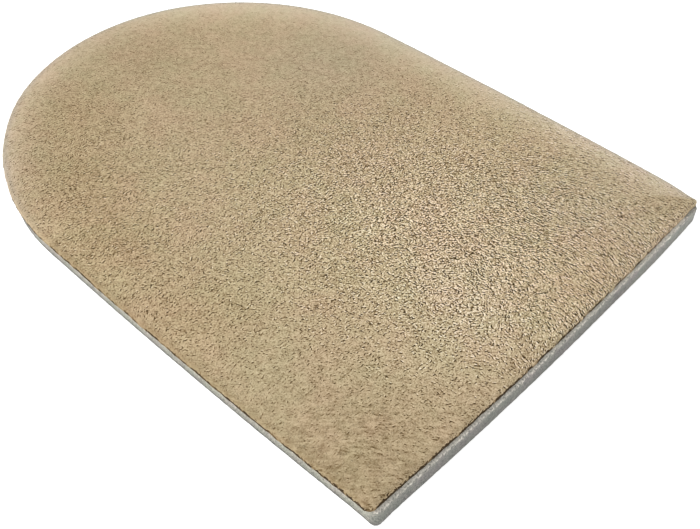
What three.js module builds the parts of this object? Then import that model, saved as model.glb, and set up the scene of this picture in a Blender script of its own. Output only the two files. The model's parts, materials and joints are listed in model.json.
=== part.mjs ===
// Flat heel pad for a shoe: a die-cut grey foam plate with a tan microsuede cover bonded on top.
// Millimetres. The pad lies on its underside: +Y runs from the straight front edge to the round heel,
// +X to the pad's right seen from above, +Z up. The origin is under the middle of the whole pad.

import * as THREE from 'three';

// Plan of the foam plate, which the cutting die gives
const PAD_WIDTH = 62;              // between the long sides, at the front corners and where the heel starts
const PAD_LENGTH = 84.9;           // front corners to the back of the heel
const HEEL_DEPTH = 32.5;           // how far the round heel reaches behind the long sides
const SIDE_BOW = 0.35;             // how far each long side swells outward at its middle
const FRONT_BOW = 0.64;            // how far the front edge swells forward at its middle
const FOAM_LEFT_CORNER = 0.6;      // radius of the foam's left front corner
const FOAM_RIGHT_CORNER = 1.1;     // radius of its right front corner, which is more worn
const COVER_CORNER = 1.25;         // radius of both front corners of the cloth

// Layers, in the middle of the pad
const FOAM_THICKNESS = 2.85;
const COVER_THICKNESS = 1.0;
const GLUE_FILM = 0.1;             // clear gap that the glue fills between foam and cloth

// The die pinches the rim as it cuts, so the layers roll down towards every edge
const RIM_WIDTH = 4.5;
const RIM_DROP = 0.45;
const RIM_MARGIN = 0.1;            // how far inside the rolled rim the flat middle is sure to have begun
const FOAM_TOP_ROUND = 0.3;        // rounded upper edge of the foam's wall
const FOAM_FOOT_ROUND = 0.15;      // rounded lower edge of the foam's wall
const COVER_TOP_ROUND = 0.45;      // nap curling over the cloth's cut edge

// The cloth was bonded a little out of line with the foam
const COVER_SHIFT_SIDE = -0.47;    // towards the pad's left side
const COVER_SHIFT_HEEL = 0.38;     // towards the heel

// Fineness of the facets
const FRONT_STEPS = 8;
const SIDE_STEPS = 8;
const HEEL_STEPS = 36;
const CORNER_STEPS = 4;
const ROUND_STEPS = 3;
const RIM_STEPS = 5;

const HALF_WIDTH = PAD_WIDTH / 2;
const HEEL_START = PAD_LENGTH - HEEL_DEPTH;

/** Shares of the way along a row of steps, both ends counted. */
function shares(steps) {
  return Array.from({ length: steps + 1 }, (_, i) => i / steps);
}

/** Height of a shallow bow, 0 at both ends of an edge and 1 at its middle. */
function bow(share) {
  return 4 * share * (1 - share);
}

/** Half the foam's width at a distance behind its front corners, along the straight sides. */
function sideAt(y) {
  return HALF_WIDTH + SIDE_BOW * bow(y / HEEL_START);
}

/** Where the foam's front edge runs at a distance from the middle line. */
function frontAt(x) {
  return -FRONT_BOW * bow((x + HALF_WIDTH) / PAD_WIDTH);
}

/** Points of a rounded front corner, anticlockwise; side is -1 for the left one and 1 for the right. */
function frontCorner(side, radius, inset) {
  const centreX = side * (HALF_WIDTH - inset - radius);
  const centreY = inset + radius;
  const startAngle = side < 0 ? Math.PI : -Math.PI / 2;
  return shares(CORNER_STEPS).map((share) => {
    const angle = startAngle + (Math.PI / 2) * share;
    return new THREE.Vector2(centreX + radius * Math.cos(angle), centreY + radius * Math.sin(angle));
  });
}

/** Points of the pad's outline, anticlockwise from the left front corner, drawn in by an inset. */
function padOutline(leftRadius, rightRadius, inset) {
  const half = HALF_WIDTH - inset;
  const between = (steps) => shares(steps).slice(1, -1);
  const front = between(FRONT_STEPS).map((share) => {
    const x = -half + leftRadius + (2 * half - leftRadius - rightRadius) * share;
    return new THREE.Vector2(x, inset - FRONT_BOW * bow(share));
  });
  const longSide = (side, radius) => between(SIDE_STEPS).map((share) => {
    const start = inset + radius;
    return new THREE.Vector2(side * (half + SIDE_BOW * bow(share)), start + (HEEL_START - start) * share);
  });
  const heel = shares(HEEL_STEPS).map((share) => {
    const angle = Math.PI * share;
    const y = HEEL_START + (HEEL_DEPTH - inset) * Math.sin(angle);
    return new THREE.Vector2(half * Math.cos(angle), y);
  });
  return [
    ...frontCorner(-1, leftRadius, inset),
    ...front,
    ...frontCorner(1, rightRadius, inset),
    ...longSide(1, rightRadius),
    ...heel,
    ...longSide(-1, leftRadius).reverse(),
  ];
}

/** How far a plan point lies inside the foam's edge; less than 0 outside it. */
function insetAt(x, y) {
  const fromFront = y - frontAt(x);
  if (y <= HEEL_START) {
    return Math.min(fromFront, sideAt(y) - Math.abs(x));
  }
  const behind = y - HEEL_START;
  const reach = Math.hypot(x / HALF_WIDTH, behind / HEEL_DEPTH);
  return Math.min(fromFront, Math.hypot(x, behind) * (1 / reach - 1));
}

/** Height of the foam's top face over a plan point: flat in the middle, rolled down at the rim. */
function foamTopAt(x, y) {
  const share = Math.min(insetAt(x, y) / RIM_WIDTH, 1);
  return FOAM_THICKNESS - RIM_DROP * (1 - Math.sin(share * (Math.PI / 2)));
}

/** Closes a skin over rings of equally many points, from the underside round the edge to the top. */
function skinRings(rings) {
  const count = rings[0].length;
  const positions = rings.flatMap((ring) => ring.flatMap((p) => [p.x, p.y, p.z]));
  const indices = [];
  for (let level = 0; level < rings.length - 1; level += 1) {
    for (let i = 0; i < count; i += 1) {
      const a = level * count + i;
      const b = level * count + ((i + 1) % count);
      indices.push(a, b, b + count, a, b + count, a + count);
    }
  }
  const capOf = (ring) => THREE.ShapeUtils.triangulateShape(ring.map((p) => new THREE.Vector2(p.x, p.y)), []);
  const topStart = (rings.length - 1) * count;
  for (const [a, b, c] of capOf(rings[0])) {
    indices.push(a, c, b);
  }
  for (const [a, b, c] of capOf(rings[rings.length - 1])) {
    indices.push(topStart + a, topStart + b, topStart + c);
  }
  const geometry = new THREE.BufferGeometry();
  geometry.setAttribute('position', new THREE.Float32BufferAttribute(positions, 3));
  geometry.setIndex(indices);
  geometry.computeVertexNormals();
  return geometry;
}

function foamBase() {
  const ring = (inset, heightAt) =>
    padOutline(FOAM_LEFT_CORNER, FOAM_RIGHT_CORNER, inset).map((p) => new THREE.Vector3(p.x, p.y, heightAt(p)));
  const foot = shares(ROUND_STEPS).map((share) => {
    const angle = share * (Math.PI / 2);
    return ring(FOAM_FOOT_ROUND * (1 - Math.sin(angle)), () => FOAM_FOOT_ROUND * (1 - Math.cos(angle)));
  });
  const shoulder = shares(ROUND_STEPS).map((share) => {
    const angle = share * (Math.PI / 2);
    const drop = FOAM_TOP_ROUND * (1 - Math.sin(angle));
    return ring(FOAM_TOP_ROUND * (1 - Math.cos(angle)), (p) => foamTopAt(p.x, p.y) - drop);
  });
  const rim = shares(RIM_STEPS).slice(1).map((share) => {
    const inset = FOAM_TOP_ROUND + (RIM_WIDTH + RIM_MARGIN - FOAM_TOP_ROUND) * share;
    return ring(inset, (p) => foamTopAt(p.x, p.y));
  });
  const foam = new THREE.MeshStandardMaterial({ color: '#9a9c98', roughness: 0.9, metalness: 0 });
  const mesh = new THREE.Mesh(skinRings([...foot, ...shoulder, ...rim]), foam);
  mesh.name = 'foam_base';
  return mesh;
}

function suedeCover() {
  const ring = (inset, heightAt) =>
    padOutline(COVER_CORNER, COVER_CORNER, inset).map((p) => {
      const x = p.x + COVER_SHIFT_SIDE;
      const y = p.y + COVER_SHIFT_HEEL;
      return new THREE.Vector3(x, y, heightAt(foamTopAt(x, y) + GLUE_FILM));
    });
  const flatInset = RIM_WIDTH + RIM_MARGIN + Math.hypot(COVER_SHIFT_SIDE, COVER_SHIFT_HEEL);
  const underside = shares(RIM_STEPS).reverse().map((share) => ring(flatInset * share, (z) => z));
  const edge = shares(ROUND_STEPS).map((share) => {
    const angle = share * (Math.PI / 2);
    const drop = COVER_TOP_ROUND * (1 - Math.sin(angle));
    return ring(COVER_TOP_ROUND * (1 - Math.cos(angle)), (z) => z + COVER_THICKNESS - drop);
  });
  const top = shares(RIM_STEPS).slice(1).map((share) => {
    const inset = COVER_TOP_ROUND + (flatInset - COVER_TOP_ROUND) * share;
    return ring(inset, (z) => z + COVER_THICKNESS);
  });
  const microsuede = new THREE.MeshStandardMaterial({ color: '#b7a98a', roughness: 0.95, metalness: 0 });
  const mesh = new THREE.Mesh(skinRings([...underside, ...edge, ...top]), microsuede);
  mesh.name = 'suede_cover';
  return mesh;
}

/** The middle of the whole pad's plan, foam and cloth together. */
function planCentre(meshes) {
  const box = new THREE.Box3();
  for (const mesh of meshes) {
    box.expandByObject(mesh);
  }
  return box.getCenter(new THREE.Vector3());
}

const layers = [foamBase(), suedeCover()];
const middle = planCentre(layers);
const pad = new THREE.Group();
pad.add(...layers);
pad.position.set(-middle.x, -middle.y, 0);

export default pad;
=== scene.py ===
import json
import math

import bpy
import numpy as np
from mathutils import Matrix, Vector, noise
from mathutils.geometry import delaunay_2d_cdt

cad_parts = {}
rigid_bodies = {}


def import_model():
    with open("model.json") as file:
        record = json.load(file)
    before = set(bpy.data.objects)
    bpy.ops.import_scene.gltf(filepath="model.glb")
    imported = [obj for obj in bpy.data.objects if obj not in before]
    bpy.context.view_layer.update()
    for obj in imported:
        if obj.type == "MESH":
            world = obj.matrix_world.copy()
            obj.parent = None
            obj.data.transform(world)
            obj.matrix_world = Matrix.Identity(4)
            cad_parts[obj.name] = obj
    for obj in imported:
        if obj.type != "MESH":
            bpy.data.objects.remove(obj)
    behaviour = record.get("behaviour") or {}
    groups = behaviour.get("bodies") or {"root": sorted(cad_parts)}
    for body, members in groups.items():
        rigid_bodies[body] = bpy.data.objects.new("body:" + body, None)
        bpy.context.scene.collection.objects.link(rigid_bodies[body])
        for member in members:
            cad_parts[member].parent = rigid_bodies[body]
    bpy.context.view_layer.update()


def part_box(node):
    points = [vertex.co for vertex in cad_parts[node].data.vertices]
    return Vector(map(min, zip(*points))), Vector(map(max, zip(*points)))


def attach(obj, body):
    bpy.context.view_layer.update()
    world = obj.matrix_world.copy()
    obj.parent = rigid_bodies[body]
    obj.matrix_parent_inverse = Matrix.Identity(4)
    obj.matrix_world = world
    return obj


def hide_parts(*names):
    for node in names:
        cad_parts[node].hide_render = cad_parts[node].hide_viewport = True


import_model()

# Foam base
# The plate that gives the heel pad its thickness: grey closed-cell foam, die-cut in a D from a sheet, so
# its wall shows cut cells and faint strokes of the die. It lies on its flat underside.

FOAM_LOW, FOAM_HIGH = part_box("foam_base")
SIDE_BOW = 0.00035           # how far each long side swells outward at its middle
FRONT_BOW = 0.00064          # how far the front edge swells forward at its middle
HEEL_DEPTH = 0.0325          # how far the round heel reaches behind the long sides
HALF_WIDTH = (FOAM_HIGH[0] - FOAM_LOW[0]) / 2 - SIDE_BOW
PAD_LENGTH = FOAM_HIGH[1] - FOAM_LOW[1] - FRONT_BOW
HEEL_START = PAD_LENGTH - HEEL_DEPTH
FOAM_ORIGIN = np.array([(FOAM_LOW[0] + FOAM_HIGH[0]) / 2, FOAM_LOW[1] + FRONT_BOW])
FOAM_THICKNESS = FOAM_HIGH[2] - FOAM_LOW[2]
FOAM_CORNERS = (0.0006, 0.0012)   # radius of the left and of the right front corner
RIM_WIDTH = 0.0045           # the die pinches the rim, so the layers roll down over this width
RIM_DROP = 0.00045
FOAM_SHOULDER = 0.00018      # rounded upper edge of the wall
FOAM_FOOT = 0.00006          # rounded lower edge of the wall
CORNER_DROOP = 0.0004        # how far the right front corner is worn down
CORNER_REACH = 0.0035
EDGE_SWELLS = (              # places where the soft wall stands out a little further
    # x, y, reach, amount
    (-0.0300, 0.0610, 0.0050, 0.00020),
    (0.0210, -0.0003, 0.0070, 0.00010),
    (-0.0310, 0.0000, 0.0020, 0.00012),
)
EDGE_STEP = 0.0003
FOAM_UNDERSIDE_STEP = 0.0007
HIDDEN_STEP = 0.001
FOOT_STEPS = 4               # rings of points round each rounded edge and up the wall
WALL_STEPS = 9
SHOULDER_STEPS = 5
TOP_INSETS = (0.00036, 0.00055)   # rings on the top face, just inside the edge
CELL_DEPTH = 0.00003         # how far the cut cells stand in and out of the wall
CELL_SIZES = (0.0005, 0.00025)
DENT_SIZE = 0.0012           # shallow dents of the underside
SEED = 7


def bow(share):
    """Height of a shallow bow, 0 at both ends of an edge and 1 at its middle."""
    return 4 * share * (1 - share)


def fading(distance, reach):
    """1 at a place, fading to 0 over a reach."""
    return np.exp(-((distance / reach) ** 2))


def distance_from(points, x, y):
    """How far plan points lie from a place."""
    return np.hypot(points[:, 0] - x, points[:, 1] - y)


def cut_edge(corners, step):
    """Even points along a die-cut edge and their outward normals, anticlockwise from the left front."""
    turn = np.linspace(0, np.pi / 2, 24)
    across = np.linspace(0, 1, 240)[1:-1]
    along = np.linspace(0, 1, 200)[1:-1]
    heel_turn = np.linspace(0, np.pi, 480)
    left, right = corners
    stretches = (
        (-HALF_WIDTH + left - left * np.cos(turn), left - left * np.sin(turn)),
        (-HALF_WIDTH + left + (2 * HALF_WIDTH - left - right) * across, -FRONT_BOW * bow(across)),
        (HALF_WIDTH - right + right * np.sin(turn), right - right * np.cos(turn)),
        (HALF_WIDTH + SIDE_BOW * bow(along), right + (HEEL_START - right) * along),
        (HALF_WIDTH * np.cos(heel_turn), HEEL_START + HEEL_DEPTH * np.sin(heel_turn)),
        (-HALF_WIDTH - SIDE_BOW * bow(along), HEEL_START - (HEEL_START - left) * along),
    )
    line = np.column_stack([np.concatenate(part) for part in zip(*stretches)])
    closed = np.vstack([line, line[:1]])
    run = np.concatenate([[0], np.cumsum(np.hypot(*np.diff(closed, axis=0).T))])
    count = int(run[-1] / step)
    at = np.arange(count) * run[-1] / count
    even = np.column_stack([np.interp(at, run, closed[:, k]) for k in (0, 1)])
    tangent = np.roll(even, -1, axis=0) - np.roll(even, 1, axis=0)
    normal = np.column_stack([tangent[:, 1], -tangent[:, 0]])
    return even, normal / np.hypot(*normal.T)[:, None]


def inset_of(points, corners):
    """How far plan points lie inside a die-cut edge."""
    x, y = points[:, 0], points[:, 1]
    front = y + FRONT_BOW * bow(np.clip((x + HALF_WIDTH) / (2 * HALF_WIDTH), 0, 1))
    straight = HALF_WIDTH + SIDE_BOW * bow(np.clip(y / HEEL_START, 0, 1)) - np.abs(x)
    behind = np.maximum(y - HEEL_START, 0)
    reach = np.maximum(np.hypot(x / HALF_WIDTH, behind / HEEL_DEPTH), 1e-6)
    side = np.where(y <= HEEL_START, straight, np.hypot(x, behind) * (1 / reach - 1))
    radius = np.where(x < 0, *corners)
    at_corner = (front < radius) & (side < radius)
    return np.where(at_corner, radius - np.hypot(radius - front, radius - side), np.minimum(front, side))


def foam_top(points):
    """Height of the foam's top face over plan points: flat in the middle, rolled down at the rim."""
    share = np.clip(inset_of(points, FOAM_CORNERS) / RIM_WIDTH, 0, 1)
    droop = CORNER_DROOP * fading(distance_from(points, HALF_WIDTH, 0), CORNER_REACH)
    return FOAM_THICKNESS - RIM_DROP * (1 - np.sin(share * np.pi / 2)) - droop


def lattice(corners, inset, step):
    """Plan points in a triangular lattice over the inside of a die-cut edge."""
    rows = np.arange(-FRONT_BOW, PAD_LENGTH, step * math.sqrt(3) / 2)
    columns = np.arange(-HALF_WIDTH - SIDE_BOW, HALF_WIDTH + SIDE_BOW, step)
    points = np.array([(x + (k % 2) * step / 2, y) for k, y in enumerate(rows) for x in columns])
    return points[inset_of(points, corners) > inset + 0.6 * step]


def rippled(points, pitch, seed):
    """Smooth noise from -1 to 1 at each point, with bumps about as wide as pitch."""
    shift = Vector((seed * 3.7, seed * 5.1, seed * 7.3))
    return np.array([noise.noise(Vector(p) / pitch + shift) for p in points])


def closed_skin(name, rings, low_face, high_face, origin):
    """A closed layer: rings of points from the underside round the edge to the top, and both its faces."""
    count = len(rings[0])
    wall = np.vstack(rings)
    faces = []
    for level in range(len(rings) - 1):
        here = level * count + np.arange(count)
        beside = level * count + (np.arange(count) + 1) % count
        faces += np.column_stack([here, beside, beside + count, here + count]).tolist()
    border = [(i, (i + 1) % count) for i in range(count)]
    blocks = [wall]
    start = len(wall)
    low_side = (rings[0], low_face, 0, -1)
    high_side = (rings[-1], high_face, len(wall) - count, 1)
    for ring, inner, first, turned in (low_side, high_side):
        in_millimetres = [Vector(p) * 1000 for p in np.vstack([ring[:, :2], inner[:, :2]])]
        triangles = np.array(delaunay_2d_cdt(in_millimetres, border, [], 1, 1e-6)[2])
        triangles = np.where(triangles < count, triangles + first, triangles - count + start)
        faces += triangles[:, ::turned].tolist()
        blocks.append(inner)
        start += len(inner)
    points = np.vstack(blocks)
    points[:, :2] += origin
    mesh = bpy.data.meshes.new(name)
    mesh.from_pydata(points.tolist(), [], faces)
    mesh.shade_smooth()
    made = bpy.data.objects.new(name, mesh)
    bpy.context.collection.objects.link(made)
    return made


foam_edge, foam_out = cut_edge(FOAM_CORNERS, EDGE_STEP)
edge_top = foam_top(foam_edge)
rings = []
for turn in np.linspace(0, np.pi / 2, FOOT_STEPS):
    height = np.full(len(foam_edge), FOAM_FOOT * (1 - math.cos(turn)))
    rings.append((FOAM_FOOT * (1 - math.sin(turn)), height))
for share in np.linspace(0, 1, WALL_STEPS)[1:-1]:
    rings.append((0, FOAM_FOOT + (edge_top - FOAM_SHOULDER - FOAM_FOOT) * share))
for turn in np.linspace(0, np.pi / 2, SHOULDER_STEPS):
    inset = FOAM_SHOULDER * (1 - math.cos(turn))
    height = foam_top(foam_edge - foam_out * inset) - FOAM_SHOULDER * (1 - math.sin(turn))
    rings.append((inset, height))
for inset in TOP_INSETS:
    rings.append((inset, foam_top(foam_edge - foam_out * inset)))

swell = np.zeros(len(foam_edge))
for x, y, reach, amount in EDGE_SWELLS:
    swell += amount * fading(distance_from(foam_edge, x, y), reach)
foam_rings = []
for level, (inset, height) in enumerate(rings):
    plan = foam_edge - foam_out * inset
    spots = np.column_stack([plan, height])
    cells = rippled(spots, CELL_SIZES[0], SEED) + 0.6 * rippled(spots, CELL_SIZES[1], SEED + 1)
    dent = CELL_DEPTH * cells * (0 if level == 0 else 1) - swell
    foam_rings.append(np.column_stack([plan - foam_out * dent[:, None], height]))

under_plan = lattice(FOAM_CORNERS, FOAM_FOOT, FOAM_UNDERSIDE_STEP)
under_spots = np.column_stack([under_plan, np.zeros(len(under_plan))])
under_dent = CELL_DEPTH * np.maximum(0, rippled(under_spots, DENT_SIZE, SEED + 2))
foam_under = np.column_stack([under_plan, under_dent])
top_plan = lattice(FOAM_CORNERS, rings[-1][0], HIDDEN_STEP)
foam_face = np.column_stack([top_plan, foam_top(top_plan)])
foam_pad = closed_skin("foam_pad", foam_rings, foam_under, foam_face, FOAM_ORIGIN)


class Value:
    """A node's output, so that maths on numbers reads as plain expressions."""

    def __init__(self, net, output):
        self.net, self.output = net, output

    def math(self, operation, *others):
        values = dict(enumerate([self, *others]))
        return self.net.add("ShaderNodeMath", {"operation": operation}, values)

    def __add__(self, other):
        return self.math("ADD", other)

    def __sub__(self, other):
        return self.math("SUBTRACT", other)

    def __mul__(self, other):
        return self.math("MULTIPLY", other)

    def __rsub__(self, other):
        return self.net.add("ShaderNodeMath", {"operation": "SUBTRACT"}, {0: other, 1: self})

    def other(self, name):
        """Another output of the same node."""
        return Value(self.net, self.output.node.outputs[name])

    def clamped(self, low=0.0, high=1.0):
        return self.math("MAXIMUM", low).math("MINIMUM", high)

    __radd__ = __add__
    __rmul__ = __mul__


class Net:
    """A node tree that is written one node at a time."""

    def __init__(self, tree):
        self.tree = tree

    def add(self, kind, settings=None, values=None, out=0):
        """A new node: its settings first, then the values or links of its sockets. Gives one output."""
        node = self.tree.nodes.new(kind)
        for name, setting in (settings or {}).items():
            setattr(node, name, setting)
        for name, value in (values or {}).items():
            if isinstance(value, Value):
                self.tree.links.new(value.output, node.inputs[name])
            else:
                node.inputs[name].default_value = value
        return Value(self, node.outputs[out]) if node.outputs else None

    def mix(self, factor, first, second, blend="MIX"):
        """One colour over another by a factor."""
        settings = {"data_type": "RGBA", "blend_type": blend}
        return self.add("ShaderNodeMix", settings, {0: factor, 6: first, 7: second}, out=2)

    def noise(self, place, size, detail=2, roughness=0.5):
        """Cloudy values about 0.5, with clouds of a size in metres."""
        values = {"Vector": place, "Scale": 1 / size, "Detail": detail, "Roughness": roughness}
        return self.add("ShaderNodeTexNoise", {}, values)

    def spread(self, value, low, high, first=0.0, last=1.0):
        """A value between low and high, stretched to run from first to last."""
        values = {"Value": value, "From Min": low, "From Max": high, "To Min": first, "To Max": last}
        return self.add("ShaderNodeMapRange", {}, values)

    def vectors(self, operation, first, second):
        """Maths on two vectors, which gives a vector, or a number for a dot product."""
        out = "Value" if operation == "DOT_PRODUCT" else "Vector"
        return self.add("ShaderNodeVectorMath", {"operation": operation}, {0: first, 1: second}, out)

    def turned(self, vector, angle):
        """A vector turned about the upright axis."""
        values = {"Vector": vector, "Angle": angle}
        return self.add("ShaderNodeVectorRotate", {"rotation_type": "Z_AXIS"}, values)

    def ramp(self, level, stops):
        """A colour for each level from 0 to 1, by stops of a level and a colour."""
        made = self.add("ShaderNodeValToRGB", {}, {0: level.clamped()})
        elements = made.output.node.color_ramp.elements
        while len(elements) < len(stops):
            elements.new(0.5)
        for element, (place, colour) in zip(elements, stops):
            element.position, element.color = place, (*colour, 1)
        return made


def new_finish(name, roughness, **constants):
    """A material with one plain shader, whose constant sockets are set on it."""
    finish = bpy.data.materials.new(name)
    finish.use_nodes = True
    finish.node_tree.nodes.clear()
    net = Net(finish.node_tree)
    constants = {name.replace("_", " "): value for name, value in constants.items()}
    surface = net.add("ShaderNodeBsdfPrincipled", {}, {"Roughness": roughness, **constants})
    net.add("ShaderNodeOutputMaterial", {}, {"Surface": surface})
    return finish, net, surface.output.node


def paint(net, shader, socket, value):
    """Feeds a shader's socket from a value."""
    net.tree.links.new(value.output, shader.inputs[socket])


EDGE_HEIGHT = FOAM_THICKNESS - RIM_DROP
CELL_SPECK = 0.0002          # the cut cells, as the finish shows them
PIT_SPECK = 0.00026
WALL_PATCH = 0.0008
DIE_STROKE = 0.0005          # strokes of the die, drawn out down the wall
BLUSH_PATCH = 0.002
LIP_DEPTH = 0.0006           # painted highlight: the wall turns paler over this depth under its rounded edge
RAGGED = 0.00025             # how unevenly the painted highlight starts
LEFT_FACE = (-0.0302, -0.0306)    # the left wall, x in metres, painted lighter for the light it catches
PALER_END = (0.010, 0.028)   # the front wall turns paler between these places to the right

foam_finish, net, shader = new_finish("foam", 0.85, Specular_IOR_Level=0.3)
place = net.add("ShaderNodeTexCoord", {}, {}, out="Object")
height = net.add("ShaderNodeSeparateXYZ", {}, {"Vector": place}, out="Z")
side = net.add("ShaderNodeSeparateXYZ", {}, {"Vector": place}, out="X")
behind = net.add("ShaderNodeSeparateXYZ", {}, {"Vector": place}, out="Y")
drawn_down = net.vectors("MULTIPLY", place, (1, 1, 0.15))
cells = net.noise(place, CELL_SPECK, 0)
pits = net.spread(net.noise(place, PIT_SPECK, 0), 0.6, 0.72)
patches = net.noise(place, WALL_PATCH, 2, 0.6)
strokes = net.noise(drawn_down, DIE_STROKE, 2, 0.6)
wall_share = net.spread(height, 0.0, EDGE_HEIGHT)
uneven = height + (patches - 0.5) * RAGGED + (cells - 0.5) * RAGGED
lip_highlight = net.spread(uneven, EDGE_HEIGHT - LIP_DEPTH, EDGE_HEIGHT + 0.0001)
# Painted light: the wall is painted lighter towards its top, and paler still in the painted highlight under
# its rounded edge, up to a cream that stands in for light from above and off the tan cloth.
level = wall_share.math("POWER", 2) * 0.16 + lip_highlight * 0.36 + 0.25
level = level + (cells - 0.5) * 0.85 + (patches - 0.5) * 0.3 + (strokes - 0.5) * 0.32 - pits * 0.12
grey = net.ramp(
    level,
    (
        (0.0, (0.12, 0.122, 0.11)),
        (0.25, (0.19, 0.192, 0.175)),
        (0.5, (0.245, 0.242, 0.215)),
        (0.75, (0.33, 0.315, 0.275)),
        (1.0, (0.60, 0.56, 0.475)),
    ),
)
blush = net.spread(net.noise(place, BLUSH_PATCH, 2), 0.4, 0.65)
grey = net.mix(1.0, grey, net.mix(blush, (0.99, 1.01, 0.99, 1), (1.04, 0.98, 1.02, 1)), "MULTIPLY")
# Painted light on the left wall, which catches the light from the left: brighter, the more so higher up.
leftward = net.spread(side, *LEFT_FACE) * net.spread(behind, FOAM_ORIGIN[1], FOAM_ORIGIN[1] + 0.0015)
painted_left_light = net.mix(net.spread(height, 0.0, 0.0014), (1.0, 0.99, 0.96, 1), (2.1, 2.03, 1.9, 1))
grey = net.mix(leftward, grey, net.mix(1.0, grey, painted_left_light, "MULTIPLY"))
paler = net.mix(1.0, grey, (1.3, 1.3, 1.3, 1), "MULTIPLY")
grey = net.mix(net.spread(side, *PALER_END), grey, paler)
# Painted shade at the foot of the wall, where its lower edge curves under, stronger on the left wall.
foot_shade = net.spread(height, 0.0001, 0.0004, 1, 0) * (leftward * 0.5 + 0.15)
grey = net.mix(foot_shade, grey, (0.05, 0.05, 0.045, 1))
# Painted highlight on the ledge at the wall's top, in place of the light that the cloth's edge shades off
# it, broken by the cells.
ledge_highlight = net.spread(uneven, EDGE_HEIGHT - 0.00012, EDGE_HEIGHT)
grey = net.mix(ledge_highlight * (cells * 0.9 + 0.14), grey, (0.80, 0.765, 0.68, 1))
paint(net, shader, "Base Color", grey)
relief = net.add("ShaderNodeBump", {}, {"Strength": 0.5, "Distance": 0.00006, "Height": cells})
paint(net, shader, "Normal", relief)
foam_pad.data.materials.append(foam_finish)

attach(foam_pad, "root")
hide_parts("foam_base")

# Microsuede cover
# The cloth that faces the heel: a millimetre of tan brushed microfibre, bonded on the foam and cut by the
# same die, which leaves its rim rolled down and its cut edge in shadow under the nap, a shadow that is
# painted dark.

COVER_LOW, COVER_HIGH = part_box("suede_cover")
COVER_ORIGIN = np.array([(COVER_LOW[0] + COVER_HIGH[0]) / 2, COVER_LOW[1] + FRONT_BOW])
COVER_SHIFT = COVER_ORIGIN - FOAM_ORIGIN
COVER_CORNERS = (0.0008, 0.0005)   # radius of the left and of the right front corner
COVER_THICKNESS = 0.001
COVER_LIFT = COVER_HIGH[2] - FOAM_HIGH[2] - COVER_THICKNESS   # the glue's thickness
COVER_ROUND = 0.00045        # nap curling over the cut edge
COVER_STEP = 0.0003
COVER_INSETS = (0.00045, 0.0003, 0.00015)   # rings on the cloth's underside, just inside the edge
COVER_WALL_STEPS = 4         # rings up the cut edge and round the curl of the nap
CURL_STEPS = 7
TURNED_BACK = (0.5, 0.87)    # the way that the heel's right shoulder faces
EDGE_WAVE = 0.0001           # how far the cut edge wanders
WAVE_SIZES = (0.004, 0.0008)
HEEL_SHORT = 0.00015         # how far the cut falls short on the heel's right shoulder
LEFT_OUT = 0.00006           # how far it stands out along the left side
HEEL_FLATS = (               # places where the cut falls a little shorter still
    # x, y, reach, amount
    (-0.0234, 0.0740, 0.006, 0.00015),
    (-0.0030, 0.0849, 0.008, 0.00022),
    (-0.0100, 0.0834, 0.003, 0.00010),
    (0.0207, 0.0760, 0.004, 0.00010),
    (0.0299, 0.0574, 0.004, 0.00012),
)
CORNER_PULL = 0.0003         # the wisp that sticks out of the right front corner
WISP_REACH = 0.00035
PILE_RELIEF = 0.00005        # clumps of the nap
PILE_SIZES = (0.0009, 0.0005)
PILE_INSET = 0.0015          # they are full this far in from the edge

# Patches of the brushed face. Places are shares of the half width and of the length, and each patch fades
# over its reach. crisp is how much more its flecks stand out, order how much more they lie one way, light
# how much lighter it is and warm how much more brownish.
NAP_PATCHES = (
    # across, along, reach, crisp, order, light, warm
    (0.18, 0.22, 0.022, 0.92, -0.15, 0.1, 0.7),
    (-0.60, 0.57, 0.027, 0.34, 0.0, 0.1, 0.1),
    (-0.48, 0.83, 0.008, 0.05, 0.1, -0.85, 0.5),
    (-0.74, 0.69, 0.008, 0.05, 0.1, -1.0, 0.6),
    (-0.88, 0.54, 0.008, 0.05, 0.2, -0.9, 0.6),
    (-0.88, 0.36, 0.007, 0.00, 0.0, -0.6, 0.5),
    (0.05, 0.92, 0.010, 0.00, 0.0, -0.8, 0.0),
    (0.65, 0.64, 0.010, -0.05, 0.2, -0.3, -0.8),
    (0.64, 0.08, 0.009, 0.00, 0.2, 0.0, -0.8),
    (-0.15, 0.09, 0.010, 0.22, 0.0, 0.6, -0.3),
    (0.85, 0.12, 0.016, 0.10, 0.7, -0.2, 0.0),
    (0.45, 0.12, 0.011, 0.00, 0.4, 0.0, 0.0),
    (0.60, 0.05, 0.008, 0.10, 0.4, 0.0, 0.0),
    (-0.95, 0.12, 0.009, -0.10, 0.2, 0.0, 0.0),
    (-0.85, 0.05, 0.009, 0.00, 0.0, -0.7, 0.1),
    (0.30, 0.46, 0.013, 0.16, 0.0, -0.5, 0.0),
    (-0.10, 0.67, 0.017, 0.00, 0.0, -0.4, 0.0),
)
FACE_CRISP = 0.14            # the same where no patch reaches
FACE_ORDER = 0.4
BRUSHED_WAYS = (             # where the nap points, in degrees from the pad's right
    # across, degrees
    (-1.0, -10),
    (0.0, -35),
    (1.0, -60),
)
FRONT_WAYS = (               # how much further it turns along the front edge
    # across, degrees
    (-1.0, -20),
    (-0.45, -33),
    (-0.1, -75),
    (1.0, -20),
)
FRONT_REACH = 0.016
SWIRL = 35                   # how far it turns this way and that, in degrees
SWIRL_SIZE = 0.007


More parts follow.
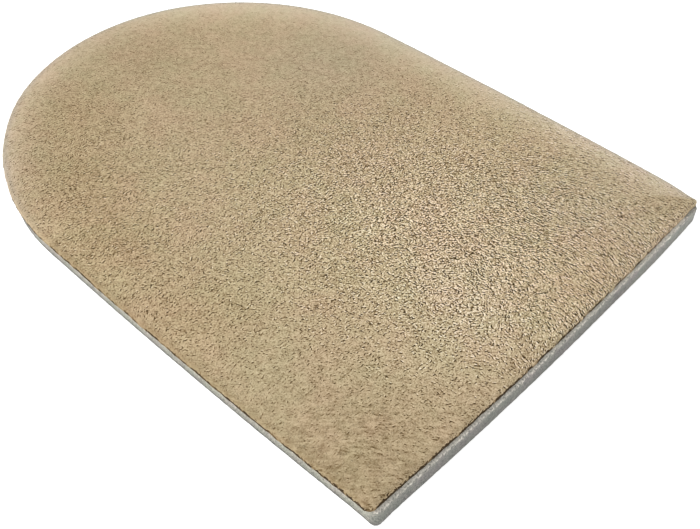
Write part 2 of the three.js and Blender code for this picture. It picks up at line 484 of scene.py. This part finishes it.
def nap_fields(points):
    """How crisp, ordered, light and warm the brushed face is over plan points, and which way it lies."""
    fields = np.tile((FACE_CRISP, FACE_ORDER, 0.0, 0.0), (len(points), 1))
    for across, along, reach, *more in NAP_PATCHES:
        away = distance_from(points, across * HALF_WIDTH, along * PAD_LENGTH)
        fields += fading(away, reach)[:, None] * more
    lay = np.interp(points[:, 0] / HALF_WIDTH, *zip(*BRUSHED_WAYS))
    front_turn = np.interp(points[:, 0] / HALF_WIDTH, *zip(*FRONT_WAYS))
    lay += front_turn * fading(points[:, 1], FRONT_REACH)
    return (*fields.T, lay)


def edge_way(points, corners):
    """The direction straight out to the nearest edge from plan points."""
    step = 0.00005
    pushes = ((step, 0), (0, step))
    way = [inset_of(points - push, corners) - inset_of(points + push, corners) for push in pushes]
    return (way / np.maximum(np.hypot(*way), 1e-9)).T


cover_edge, cover_out = cut_edge(COVER_CORNERS, EDGE_STEP)


def cover_base(plan):
    """Height of the cloth's underside over plan points of the cover."""
    return foam_top(plan + COVER_SHIFT) + COVER_LIFT


edge_spots = np.column_stack([cover_edge, np.zeros(len(cover_edge))])
slow_wave = rippled(edge_spots, WAVE_SIZES[0], SEED + 3)
quick_wave = rippled(edge_spots, WAVE_SIZES[1], SEED + 7)
wave = EDGE_WAVE * (0.6 * slow_wave + 0.8 * quick_wave)
wave -= CORNER_PULL * fading(distance_from(cover_edge, HALF_WIDTH, 0), WISP_REACH)
for x, y, reach, amount in HEEL_FLATS:
    wave += amount * fading(distance_from(cover_edge, x, y), reach)
wave += HEEL_SHORT * np.clip(cover_out @ TURNED_BACK, 0, 1) - LEFT_OUT * (cover_out[:, 0] < -0.95)
wave_out = cover_out * wave[:, None]
cover_rings = []
for inset in COVER_INSETS:
    plan = cover_edge - cover_out * inset
    cover_rings.append(np.column_stack([plan, cover_base(plan)]))
for share in np.linspace(0, 1 - COVER_ROUND / COVER_THICKNESS, COVER_WALL_STEPS):
    height = cover_base(cover_edge) + COVER_THICKNESS * share
    cover_rings.append(np.column_stack([cover_edge - wave_out, height]))
for turn in np.linspace(0, np.pi / 2, CURL_STEPS)[1:]:
    plan = cover_edge - cover_out * COVER_ROUND * (1 - math.cos(turn))
    height = cover_base(plan) + COVER_THICKNESS - COVER_ROUND * (1 - math.sin(turn))
    cover_rings.append(np.column_stack([plan - wave_out * math.cos(turn), height]))

face_plan = lattice(COVER_CORNERS, COVER_ROUND, COVER_STEP)
face_spots = np.column_stack([face_plan, np.zeros(len(face_plan))])
large_clumps = rippled(face_spots, PILE_SIZES[0], SEED + 4)
small_clumps = rippled(face_spots, PILE_SIZES[1], SEED + 5)
from_rim = np.clip(inset_of(face_plan, COVER_CORNERS) / PILE_INSET, 0, 1)
relief = PILE_RELIEF * (large_clumps + 0.7 * small_clumps) * from_rim
cover_top = np.column_stack([face_plan, cover_base(face_plan) + COVER_THICKNESS + relief])
back_plan = lattice(COVER_CORNERS, COVER_INSETS[0], HIDDEN_STEP)
cover_back = np.column_stack([back_plan, cover_base(back_plan)])
suede_cloth = closed_skin("suede_cloth", cover_rings, cover_back, cover_top, COVER_ORIGIN)

# What each point of the cloth keeps for the finish and for the nap: how the nap lies and how dense it is,
# and how crisp, ordered, light and brownish its flecks are; light also carries painted sheen and shade at
# the rim.
EDGE_ORDER_REACH = 0.003     # the nap lies more one way this near the edge
NAP_START = 0.0007           # how far up the cut edge the nap starts
NAP_RAMP = 0.0002            # and over what further height it grows full
OVER_EDGE = 0.0003           # the nap leans out and down this near the edge
MATTED = 0.0005              # its flecks are faint this near the left side
FRONT_CRISP_REACH = 0.002    # and stand out more this near the front
MOTTLED_AT = -0.8 * HALF_WIDTH    # coarse mottling about a place on the front edge
MOTTLED_REACH = 0.022

points = np.empty(len(suede_cloth.data.vertices) * 3, np.float32)
suede_cloth.data.vertices.foreach_get("co", points)
plan = points.reshape(-1, 3)[:, :2] - COVER_ORIGIN
above = points.reshape(-1, 3)[:, 2] - cover_base(plan)
spots = np.column_stack([plan, np.zeros(len(plan))])
crisp, order, light, warm, lay = nap_fields(plan)
inset = inset_of(plan, COVER_CORNERS)
outward = edge_way(plan, COVER_CORNERS)
along_front = outward[:, 1] < -0.7
left_side = (outward[:, 0] < -0.8) & (plan[:, 1] < 0.8 * PAD_LENGTH)
order = np.clip(order + 0.4 * ~left_side * fading(inset, EDGE_ORDER_REACH), 0, 0.95)
lay = np.radians(lay + SWIRL * rippled(spots, SWIRL_SIZE, SEED + 6))
napped = np.clip((above - NAP_START) / NAP_RAMP, 0, 1) * np.clip(0.35 + 0.8 * crisp, 0, 1)
over_edge = np.clip(1 - inset / OVER_EDGE, 0, 1) * ~left_side
crisp *= 1 - 0.8 * left_side * np.clip(1 - inset / MATTED, 0, 1)
rightward = np.clip(plan[:, 0] / HALF_WIDTH * 2 + 0.8, 0, 1)
crisp += 0.3 * along_front * rightward * fading(inset, FRONT_CRISP_REACH)
mottled = fading(distance_from(plan, MOTTLED_AT, 0), MOTTLED_REACH)
lay_vector = np.column_stack([np.cos(lay), np.sin(lay), np.zeros(len(lay))])
lay_vector[:, :2] = lay_vector[:, :2] * (1 - over_edge)[:, None] + outward * over_edge[:, None]
lay_vector[:, 2] = -over_edge

# The rolled rim, turned towards the window behind the heel, is painted paler round the heel and along the
# right side:
# painted sheen of the nap in that light. The left side is painted darker just at its edge: painted shade.
SHEEN_REACH = 0.003         # how far in the painted sheen goes
SHEEN_MORE = 0.0022         # how much further round the heel
SHEEN_LESS = 0.0009         # how much less far on the left
INNER_BAND = (0.0018, 0.0014)     # a fainter band along the right side: where it lies and how far it fades
LEFT_SHADE = 0.0008
PALE_REACHES = (0.001, 0.0045)    # the painted sheen's paler hue, close to the edge and further in

turned_back = outward @ TURNED_BACK
sheen_facing = np.clip((turned_back + 0.5) / 0.45, 0, 1)
rim_light = 1.9 + 1.5 * np.clip(outward[:, 0] * 1.5, 0, 1)
rim_reach = SHEEN_REACH + SHEEN_MORE * np.clip(turned_back, 0, 1)
rim_reach -= SHEEN_LESS * np.clip(-2 * outward[:, 0], 0, 1)
light += rim_light * sheen_facing * fading(inset, rim_reach)
on_right = np.clip(2 * outward[:, 0], 0, 1)
light += 0.45 * sheen_facing * on_right * fading(inset - INNER_BAND[0], INNER_BAND[1])
# Painted shade along the left edge, against the light that the lamp from the left throws on it.
on_left = (outward[:, 0] < -0.9) * (plan[:, 1] < HEEL_START)
light -= np.clip(1 - inset / LEFT_SHADE, 0, 1) * on_left
pale = sheen_facing * (0.6 * fading(inset, PALE_REACHES[0]) + 0.4 * fading(inset, PALE_REACHES[1]))

# Painted shadow: the cut edge, in shadow under the nap, is painted dark, broken by fibres, strongest at the
# left front corner and along the front; each point keeps how dark it is and how much further up it goes.
# Over it the paler rim ends in a grey line.
BREAK_SIZE = 0.0007          # how long its dark stretches are
NEAR_REACHES = (0.045, 0.020)     # how far the darker painted shadow goes from that corner, forward and elsewhere
CUT_HEIGHT = 0.00036         # how far up the painted shadow goes
GREY_HEIGHT = 0.0003         # how far up the grey line starts
GREY_INSET = 0.0007          # how far in it goes

broken = rippled(spots, BREAK_SIZE, SEED + 8)
near = fading(distance_from(plan, -HALF_WIDTH, 0), np.where(along_front, *NEAR_REACHES))
front_end = along_front * np.clip((plan[:, 0] / HALF_WIDTH - 0.45) / 0.4, 0, 1)
cut = (0.38 + 0.2 * near + 0.50 * along_front) * np.clip(1.0 + 2.6 * broken, 0.15, 1.4)
cut *= 1 - 0.9 * front_end
cut_reach = CUT_HEIGHT + 0.00004 * near + 0.00014 * along_front * (1 - front_end) - above
grey_reach = GREY_INSET + 0.0003 * np.clip(outward[:, 1], 0, 1)
greyed = 0.85 * np.clip(1.2 * outward[:, 0] + 0.6, 0.25, 1) * sheen_facing
greyed *= np.clip((grey_reach - inset) / 0.0005, 0, 1) * (above > GREY_HEIGHT)

# fall carries the pattern of the nap on over the edge, so that it isn't drawn out down the cut.
on_edge = inset < COVER_ROUND - 0.00001
fall = np.zeros((len(plan), 3))
fall[:, :2] = outward * np.where(on_edge, COVER_THICKNESS - above, 0)[:, None]

for name, values in (
    ("lay", lay_vector),
    ("napped", napped),
    ("order", order),
    ("crisp", crisp),
    ("light", light),
    ("warm", warm),
    ("pale", pale),
    ("cut", cut),
    ("cut_reach", cut_reach),
    ("greyed", greyed),
    ("fall", fall),
    ("mottled", mottled),
    ("tone", np.full(len(plan), 0.5)),
):
    kind, part = ("FLOAT_VECTOR", "vector") if values.ndim == 2 else ("FLOAT", "value")
    suede_cloth.data.attributes.new(name, kind, "POINT").data.foreach_set(part, values.ravel())

FIBRE_SPECK = 0.00016        # the finish's own grain, from single fibres up to clumps
CLUMP_PATCH = 0.0008
ROWS_WAY = math.radians(48)  # the cloth's knitted rows, faint under the nap, lie this far from the width
ROW_SIZE = 0.00035
CLOUD_PATCH = 0.004          # faint clouds, lighter and darker
FRAY_PATCH = 0.0004          # fibres that break the painted shadow of the cut, and how far up and down they do
FRAY_HEIGHT = 0.0011
FLUSH_PATCH = 0.007          # faint pinkish and greenish patches
DASHES = (0.0011, 0.0004, 0.00010)     # each kind of fleck: pitch, half length and half width
FLECKS = (0.00055, 0.00021, 0.00006)
SPECKS = (0.00038, 0.00013, 0.00006)

suede_finish, net, shader = new_finish(
    "microsuede",
    0.95,
    Specular_IOR_Level=0.05,
    Sheen_Weight=0.12,
    Sheen_Roughness=0.5,
    Sheen_Tint=(0.75, 0.6, 0.4, 1),
)


def kept_value(name, out="Fac"):
    """A value kept on the mesh, for the finish."""
    return net.add("ShaderNodeAttribute", {"attribute_name": name}, {}, out)


tone, order, crisp, light, warm = map(kept_value, ("tone", "order", "crisp", "light", "warm"))
pale, cut, cut_reach, greyed, mottled = map(kept_value, ("pale", "cut", "cut_reach", "greyed", "mottled"))
brush = net.vectors("MULTIPLY", kept_value("lay", "Vector"), (1, 1, 0))
place = net.add("ShaderNodeTexCoord", {}, {}, out="Object")
place = net.vectors("ADD", place, kept_value("fall", "Vector"))


def bell(across, along):
    """1 in the middle of a spot, fading to 0 round it."""
    return (0 - (across * across + along * along)).math("EXPONENT")


def flecks(pitch, half_length, half_width, share):
    """Painted shade of the gaps between clumps of nap: dark dashes, each with a painted highlight on its
    lit side, one in a share of the cells of a pitch, each turned by chance.
    """
    cell_values = {"Vector": place, "Scale": 1 / pitch}
    cell = net.add("ShaderNodeTexVoronoi", {"voronoi_dimensions": "2D"}, cell_values, out="Position")
    chance = net.add("ShaderNodeSeparateColor", {}, {"Color": cell.other("Color")})
    away = net.vectors("SUBTRACT", place, cell)
    dash = net.turned(brush, (chance - 0.5) * ((1 - order) * math.pi))
    athwart = net.vectors("CROSS_PRODUCT", dash, (0, 0, 1))
    along = net.vectors("DOT_PRODUCT", away, dash) * (1 / half_length) * (1.35 - order * 0.5)
    across = net.vectors("DOT_PRODUCT", away, athwart) * (1 / half_width)
    strength = net.spread(chance.other("Green"), 1 - share, 1)
    lit = across + chance.other("Blue").math("GREATER_THAN", 0.3) * 3.6 - 1.8
    return (bell(lit, along) * 0.5 - bell(across, along)) * strength


grain = net.noise(place, FIBRE_SPECK, 0)
clumps = net.noise(place, CLUMP_PATCH, 1)
rows = net.noise(net.vectors("MULTIPLY", net.turned(place, ROWS_WAY), (0.25, 1, 1)), ROW_SIZE, 1)
cloud = net.noise(place, CLOUD_PATCH, 2, 0.5)
share = crisp * 0.4 + 0.3
fine = flecks(*FLECKS, share) * 1.8 + flecks(*SPECKS, share) * 2.4
fine = fine * (crisp * (crisp * 0.7 + 0.45) + 0.04)
fine = fine + (grain - 0.5) * (crisp * (crisp * 0.7 + 0.8) + 0.1) + (tone - 0.5) * crisp * 0.2
coarse = (rows - 0.5) * (mottled * 0.2 + 0.08)
coarse = coarse + (clumps - 0.5) * (crisp * 0.03 + mottled * 0.07 + 0.14)
coarse = coarse + flecks(*DASHES, 0.6) * (order * (0.3 - crisp * 0.2)) + (cloud - 0.5) * 0.07
frayed = (net.noise(place, FRAY_PATCH, 1) - 0.5) * FRAY_HEIGHT
# Painted shadow of the cut edge, broken by fibres.
cut = cut * net.spread(cut_reach + frayed, -0.00004, 0.00004)
# The painted sheen and shade kept in light lighten and darken the tan, and the painted shadow of the cut
# darkens it.
level = 0.452 + crisp * 0.105 + fine + coarse + light * 0.06 - cut * 0.8
tan = net.ramp(
    level,
    (
        (0.0, (0.025, 0.013, 0.003)),
        (0.25, (0.175, 0.118, 0.054)),
        (0.5, (0.47, 0.377, 0.233)),
        (0.75, (0.64, 0.535, 0.351)),
        (1.0, (0.95, 0.84, 0.66)),
    ),
)
brownish = net.mix(net.spread(warm, -1, 1), (1.0, 1.0, 1.10, 1), (1.01, 0.965, 0.91, 1))
flush_share = net.spread(net.noise(place, FLUSH_PATCH, 3, 0.7), 0.35, 0.65)
flush = net.mix(flush_share, (0.975, 1.02, 0.99, 1), (1.025, 0.99, 1.0, 1))
tinted = net.mix(1.0, net.mix(1.0, tan, brownish, "MULTIPLY"), flush, "MULTIPLY")
# Painted sheen: the rim turned to the window behind the heel takes a paler, cooler, greyer hue.
sheen_colour = net.mix(1.0, tinted, (0.86, 0.89, 1.08, 1), "MULTIPLY")
with_sheen = net.mix(pale, tinted, sheen_colour)
paint(net, shader, "Base Color", net.mix(greyed, with_sheen, (0.36, 0.37, 0.305, 1)))
bump = net.add("ShaderNodeBump", {}, {"Strength": 0.3, "Distance": 0.00005, "Height": fine})
paint(net, shader, "Normal", bump)
suede_cloth.data.materials.append(suede_finish)

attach(suede_cloth, "root")
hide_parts("suede_cover")

# Nap
# The brushed face of the cloth: short locks of split microfibre that the brush has laid over one way here
# and another there, with gaps between them that look dark. They are rooted in the cloth.

LOCK_LENGTH = 0.00026
LOCK_WIDTH = 0.00010
LOCK_RISE = 0.00002          # how far it stands off the cloth
LOCK_GAP = 0.00024           # least distance between two roots
LOCKS_TRIED = 40.0e6         # in each square metre, before the gap thins them out
LOCK_BENDS = (-0.9, 0.0, 0.9)     # sideways bend of each kind of lock, in its own widths
NAP_BANDS = ("heel", "back", "middle", "front")


def lock_shape(name, bend):
    """One lock, a spindle of 12 faces from its root at 0 to its tip at 1, bent sideways and over."""
    points = [(0.0, 0.0, -0.3)]
    for share, half in ((0.33, 0.5), (0.72, 0.4)):
        side, rise = bend * bow(share), 0.9 * bow(share * 0.8)
        points += [(share, side - half, rise), (share, side + half, rise), (share, side, rise + 1.4 * half)]
    points.append((1.0, 0.0, 0.2))
    faces = [(0, 2, 1), (0, 3, 2), (0, 1, 3), (7, 4, 5), (7, 5, 6), (7, 6, 4)]
    for a, b in ((1, 2), (2, 3), (3, 1)):
        faces += [(a, b, b + 3), (a, b + 3, a + 3)]
    mesh = bpy.data.meshes.new(name)
    mesh.from_pydata(points, [], faces)
    mesh.shade_smooth()
    return bpy.data.objects.new(name, mesh)


locks = bpy.data.collections.new("nap_locks")
for number, bend in enumerate(LOCK_BENDS):
    locks.objects.link(lock_shape(f"nap_lock_{number}", bend))

nap_tree = bpy.data.node_groups.new("brushed_nap", "GeometryNodeTree")
inputs = {}
for name, kind in (
    ("Geometry", "NodeSocketGeometry"),
    ("Locks tried", "NodeSocketFloat"),
    ("Gap", "NodeSocketFloat"),
    ("Length", "NodeSocketFloat"),
    ("Width", "NodeSocketFloat"),
    ("Rise", "NodeSocketFloat"),
    ("Band start", "NodeSocketFloat"),
    ("Band end", "NodeSocketFloat"),
    ("Seed", "NodeSocketInt"),
    ("Locks", "NodeSocketCollection"),
    ("Finish", "NodeSocketMaterial"),
):
    inputs[name] = nap_tree.interface.new_socket(name, in_out="INPUT", socket_type=kind).identifier
nap_tree.interface.new_socket("Geometry", in_out="OUTPUT", socket_type="NodeSocketGeometry")
net = Net(nap_tree)
given = {name: net.add("NodeGroupInput", {}, {}, out=name) for name in inputs}


def stored(name, kind="FLOAT"):
    """A value kept on the mesh."""
    return net.add("GeometryNodeInputNamedAttribute", {"data_type": kind}, {"Name": name}, out="Attribute")


def drawn(low, high, seed):
    """A random number for each lock."""
    settings = {"data_type": "FLOAT"}
    return net.add("FunctionNodeRandomValue", settings, {2: low, 3: high, "Seed": seed}, out=1)


scatter = net.add(
    "GeometryNodeDistributePointsOnFaces",
    {"distribute_method": "POISSON"},
    {
        "Mesh": given["Geometry"],
        "Distance Min": given["Gap"],
        "Density Max": given["Locks tried"],
        "Density Factor": stored("napped"),
        "Seed": given["Seed"],
    },
    out="Points",
)
upward = Value(net, scatter.output.node.outputs["Normal"])
where = net.add("GeometryNodeInputPosition")
across = net.add("ShaderNodeSeparateXYZ", {}, {"Vector": where}, out="Y")
before = across.math("LESS_THAN", given["Band start"])
beyond = 1 - across.math("LESS_THAN", given["Band end"])
beside_band = {"Geometry": scatter, "Selection": before + beyond}
kept = net.add("GeometryNodeDeleteGeometry", {"domain": "POINT"}, beside_band)
basis = net.add(
    "FunctionNodeAxesToRotation",
    {"primary_axis": "Z", "secondary_axis": "X"},
    {"Primary Axis": upward, "Secondary Axis": stored("lay", "FLOAT_VECTOR")},
)
dip = drawn(-0.12, 0.05, 1)
swing = drawn(-1, 1, 2) * (1 - stored("order")) * math.pi
lean = net.add("ShaderNodeCombineXYZ", {}, {"Y": dip, "Z": swing})
tilt = net.add("FunctionNodeEulerToRotation", {}, {"Euler": lean})
turns = {"Rotation": basis, "Rotate By": tilt}
turned = net.add("FunctionNodeRotateRotation", {"rotation_space": "LOCAL"}, turns)
size = net.add(
    "ShaderNodeCombineXYZ",
    {},
    {
        "X": given["Length"] * drawn(0.6, 1.2, 3),
        "Y": given["Width"] * drawn(0.7, 1.25, 4),
        "Z": given["Rise"] * drawn(0.6, 1.3, 5) * stored("crisp").clamped(0.3, 1.2),
    },
)
kinds = {4: 0, 5: len(LOCK_BENDS) - 1, "Seed": 6}
choice = net.add("FunctionNodeRandomValue", {"data_type": "INT"}, kinds, out=2)
shapes = net.add(
    "GeometryNodeCollectionInfo",
    {},
    {"Collection": given["Locks"], "Separate Children": True, "Reset Children": True},
)
laid = net.add(
    "GeometryNodeInstanceOnPoints",
    {},
    {
        "Points": kept,
        "Instance": shapes,
        "Pick Instance": True,
        "Instance Index": choice,
        "Rotation": turned,
        "Scale": size,
    },
)
toned = net.add(
    "GeometryNodeStoreNamedAttribute",
    {"data_type": "FLOAT", "domain": "INSTANCE"},
    {"Geometry": laid, "Name": "tone", "Value": drawn(0, 1, 7)},
)
real = net.add("GeometryNodeRealizeInstances", {}, {"Geometry": toned})
coated = net.add("GeometryNodeSetMaterial", {}, {"Geometry": real, "Material": given["Finish"]})
net.add("NodeGroupOutput", {}, {"Geometry": coated})


def grown(name, carrier, values):
    """Grows a nap over a carrier mesh and gives it as a plain mesh piece."""
    host = bpy.data.objects.new(name, carrier.data.copy())
    bpy.context.collection.objects.link(host)
    grower = host.modifiers.new("nap", "NODES")
    grower.node_group = nap_tree
    for label, value in values.items():
        grower[inputs[label]] = value
    graph = bpy.context.evaluated_depsgraph_get()
    mesh = bpy.data.meshes.new_from_object(host.evaluated_get(graph))
    host.modifiers.remove(grower)
    host.data = mesh
    mesh.name = name
    return host


band_length = (COVER_HIGH[1] - COVER_LOW[1]) / len(NAP_BANDS)
for number, band in enumerate(NAP_BANDS):
    end = COVER_HIGH[1] - band_length * number
    piece = grown(
        f"nap_{band}",
        suede_cloth,
        {
            "Locks tried": LOCKS_TRIED,
            "Gap": LOCK_GAP,
            "Length": LOCK_LENGTH,
            "Width": LOCK_WIDTH,
            "Rise": LOCK_RISE,
            "Band start": end - band_length,
            "Band end": end + (1.0 if number == 0 else 0.0),
            "Seed": SEED,
            "Locks": locks,
            "Finish": suede_finish,
        },
    )
    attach(piece, "root")
for lock in list(locks.objects):
    bpy.data.objects.remove(lock)
bpy.data.collections.remove(locks)

# Floor and light
# A plain white table top that runs out of view. A wide window behind the heel lights it, with a weak fill
# from the left and an even glow all round.

FLOOR_HALF = 1.5
FLOOR_GAP = 0.00002          # how far it lies under the pad
FLOOR_GLOW = 0.55
ROOM_GLOW = 0.74
floor_mesh = bpy.data.meshes.new("floor")
corners = [(x * FLOOR_HALF, y * FLOOR_HALF, -FLOOR_GAP) for x, y in ((-1, -1), (1, -1), (1, 1), (-1, 1))]
floor_mesh.from_pydata(corners, [], [(0, 1, 2, 3)])
floor = bpy.data.objects.new("floor", floor_mesh)
bpy.context.collection.objects.link(floor)
floor_finish, net, shader = new_finish("white_table", 0.9, Specular_IOR_Level=0.1)
shader.inputs["Base Color"].default_value = (0.92, 0.92, 0.92, 1)
shader.inputs["Emission Color"].default_value = (1, 1, 1, 1)
shader.inputs["Emission Strength"].default_value = FLOOR_GLOW
floor_mesh.materials.append(floor_finish)

sky = bpy.data.worlds.new("soft_room")
sky.use_nodes = True
sky.node_tree.nodes["Background"].inputs["Color"].default_value = (1.0, 1.0, 1.0, 1)
sky.node_tree.nodes["Background"].inputs["Strength"].default_value = ROOM_GLOW
bpy.context.scene.world = sky

LAMPS = (
    # name, place, side, power
    ("window", (-0.35, 0.55, 0.6), 0.5, 4.6),
    ("fill", (-0.6, -0.1, 0.35), 0.5, 0.6),
)
for name, place, side, power in LAMPS:
    light = bpy.data.lights.new(name, "AREA")
    light.size, light.energy = side, power
    lamp = bpy.data.objects.new(name, light)
    lamp.location = place
    lamp.rotation_euler = (-Vector(place)).to_track_quat("-Z", "Y").to_euler()
    bpy.context.collection.objects.link(lamp)

# Camera
# It looks down on the near front corner from the pad's left, at the photograph's angle.

AIM = Vector((-0.006369, -0.015885, 0.0))
DISTANCE = 0.123487
TOWARDS = math.radians(47.76)      # its look's bearing, from the pad's length towards its right
DOWNWARD = math.radians(45.886)
ROLL = math.radians(1.4025)
LENS = 51.639                # in millimetres, over a sensor this wide
SENSOR = 36.0
turn = Matrix.Rotation(-TOWARDS, 4, "Z")
turn = turn @ Matrix.Rotation(math.pi / 2 - DOWNWARD, 4, "X") @ Matrix.Rotation(ROLL, 4, "Z")
lens = bpy.data.cameras.new("camera")
lens.lens, lens.sensor_width = LENS, SENSOR
lens.clip_start, lens.clip_end = 0.005, 10.0
camera = bpy.data.objects.new("camera", lens)
camera.matrix_world = Matrix.Translation(AIM + turn.to_3x3() @ Vector((0, 0, DISTANCE))) @ turn
bpy.context.collection.objects.link(camera)
bpy.context.scene.camera = camera
bpy.context.scene.view_settings.view_transform = "Standard"
